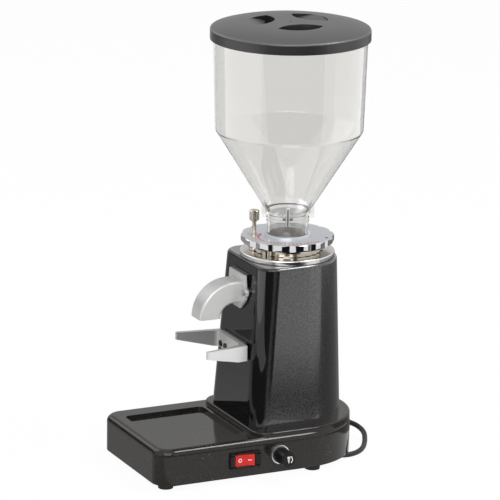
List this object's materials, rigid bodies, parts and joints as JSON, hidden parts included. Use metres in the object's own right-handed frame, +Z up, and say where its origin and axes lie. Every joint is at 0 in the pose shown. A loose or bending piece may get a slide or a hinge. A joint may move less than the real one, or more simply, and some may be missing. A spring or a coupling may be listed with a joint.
{
  "type": "electric coffee grinder",
  "caption": "Upright electric flat-burr coffee grinder with a clear cone hopper, lobed grind collar, pouring chute, holder fork and a base with tray recess, rocker switch and timer knob.",
  "frame": {"origin": "on the burr axis, at the floor under the rubber feet", "axes": "+Z up along the burr axis, -Y to the front where the chute pours, +X to the side with the switch and knob"},
  "size_m": [0.3277, 0.3597, 0.535],
  "materials": {
    "textured_casting": "fine textured dark paint",
    "gloss_casting": "gloss black paint with metal flecks",
    "zinc_plate": "zinc plated",
    "steel_screw": "bright screws",
    "black_screw": "blackened",
    "foot_rubber": "matt",
    "polished_steel": "polished",
    "satin_collar": "plated rim with a satin top",
    "nickel": "nickel",
    "cast_aluminium": "silver cast",
    "motor_casting": "cast",
    "tool_steel": "ground",
    "brass": "turned",
    "copper": "enamelled wire",
    "black_plastic": "moulded",
    "red_plastic": "translucent red",
    "lid_plastic": "charcoal",
    "clear_plastic": "clear",
    "capacitor_can": "moulded can",
    "cord_rubber": "soft black"
  },
  "bodies": {
    "frame": {"base_housing": "textured_casting", "base_plate": "zinc_plate", "plate_screws": "steel_screw", "rubber_feet": "foot_rubber", "foot_screws": "steel_screw", "tower_housing": "gloss_casting", "tower_screws": "steel_screw", "burr_chamber": "polished_steel", "chamber_screws": "black_screw", "stop_post": "nickel", "chute": "cast_aluminium", "chute_screws": "steel_screw", "portafilter_fork": "cast_aluminium", "fork_screws": "black_screw", "switch_case": "black_plastic", "timer_unit": "black_plastic", "timer_nut": "steel_screw", "motor_stator": "zinc_plate", "stator_windings": "copper", "upper_end_bell": "motor_casting", "lower_end_bell": "motor_casting", "upper_bearing": "tool_steel", "lower_bearing": "tool_steel", "motor_bolts": "steel_screw", "bell_screws": "steel_screw", "capacitor": "capacitor_can", "capacitor_clip": "zinc_plate", "terminal_block": "black_plastic", "control_board": "black_plastic", "strain_relief": "cord_rubber", "cord_run": "cord_rubber", "cord_coil": "cord_rubber", "cord_tail": "cord_rubber", "plug_body": "cord_rubber", "plug_pins": "brass"},
    "rotor": {"motor_shaft": "tool_steel", "rotor_core": "zinc_plate", "cooling_fan": "black_plastic", "burr_carrier": "brass", "lower_burr": "tool_steel", "lower_burr_screws": "steel_screw", "carrier_nut": "brass"},
    "collar": {"adjusting_collar": "satin_collar", "upper_burr": "tool_steel", "upper_burr_screws": "steel_screw", "lock_spring": "tool_steel", "lock_bush": "nickel"},
    "lock": {"lock_plunger": "nickel"},
    "hopper_body": {"hopper": "clear_plastic", "hopper_neck": "clear_plastic"},
    "gate": {"hopper_gate": "tool_steel"},
    "lid": {"hopper_lid": "lid_plastic"},
    "switch_rocker": {"rocker": "red_plastic"},
    "knob": {"timer_shaft": "tool_steel", "timer_knob": "black_plastic", "knob_ring": "polished_steel", "knob_cap": "polished_steel"}
  },
  "joints": [
    {"name": "rotor_spin", "type": "hinge", "parent": "frame", "child": "rotor", "pos_m": [0, 0, 0.15], "axis": [0, 0, 1], "continuous": true},
    {"name": "collar_turn", "type": "hinge", "parent": "frame", "child": "collar", "pos_m": [0, 0, 0.26], "axis": [0, 0, 1], "range_deg": [-165, 165]},
    {"name": "lock_slide", "type": "slide", "parent": "collar", "child": "lock", "axis": [0, 0, 1], "range_m": [-0.0052, 0.0025], "deforming": ["lock_spring"]},
    {"name": "hopper_lift", "type": "slide", "parent": "collar", "child": "hopper_body", "axis": [0, 0, 1], "range_m": [0, 0.03]},
    {"name": "gate_slide", "type": "slide", "parent": "hopper_body", "child": "gate", "axis": [0.8988, -0.4384, 0], "range_m": [0, 0.04]},
    {"name": "lid_lift", "type": "slide", "parent": "hopper_body", "child": "lid", "axis": [0, 0, 1], "range_m": [0, 0.06]},
    {"name": "switch_tilt", "type": "hinge", "parent": "frame", "child": "switch_rocker", "pos_m": [0.0835, -0.0935, 0.0284], "axis": [0, 0, 1], "range_deg": [0, 16]},
    {"name": "knob_turn", "type": "hinge", "parent": "frame", "child": "knob", "pos_m": [0.1, -0.048, 0.0298], "axis": [1, 0, 0], "range_deg": [-135, 135]}
  ]
}
